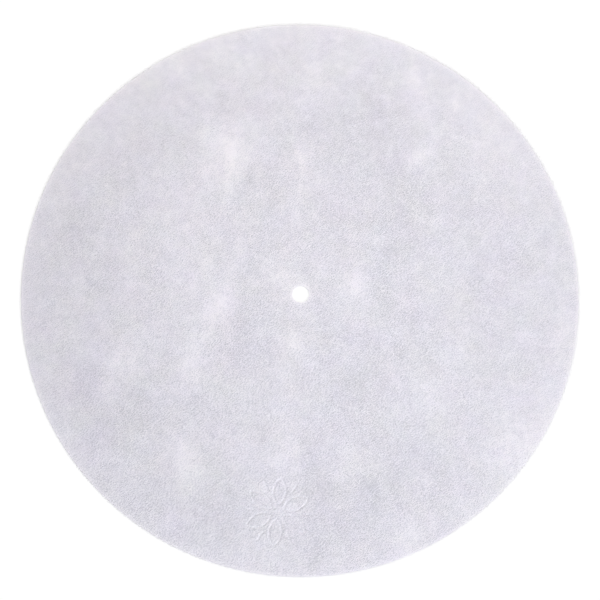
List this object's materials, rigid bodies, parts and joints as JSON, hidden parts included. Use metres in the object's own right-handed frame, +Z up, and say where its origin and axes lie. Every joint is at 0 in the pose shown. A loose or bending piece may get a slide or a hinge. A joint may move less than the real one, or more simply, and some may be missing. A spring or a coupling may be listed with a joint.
{
  "type": "turntable platter mat",
  "caption": "Thin round white felt mat with a central spindle hole and a small petal ornament pressed into its top near the rim.",
  "frame": {"origin": "on the spindle hole's axis, in the flat underside", "axes": "+Z up out of the top face along the spindle, -Y towards the pressed ornament's side"},
  "size_m": [0.295, 0.295, 0.0015],
  "materials": {
    "white_felt": "soft matt needled felt, white with a cool tint, cloudy where the fibres lie thinner"
  },
  "bodies": {
    "root": {"felt_mat": "white_felt"}
  },
  "joints": []
}
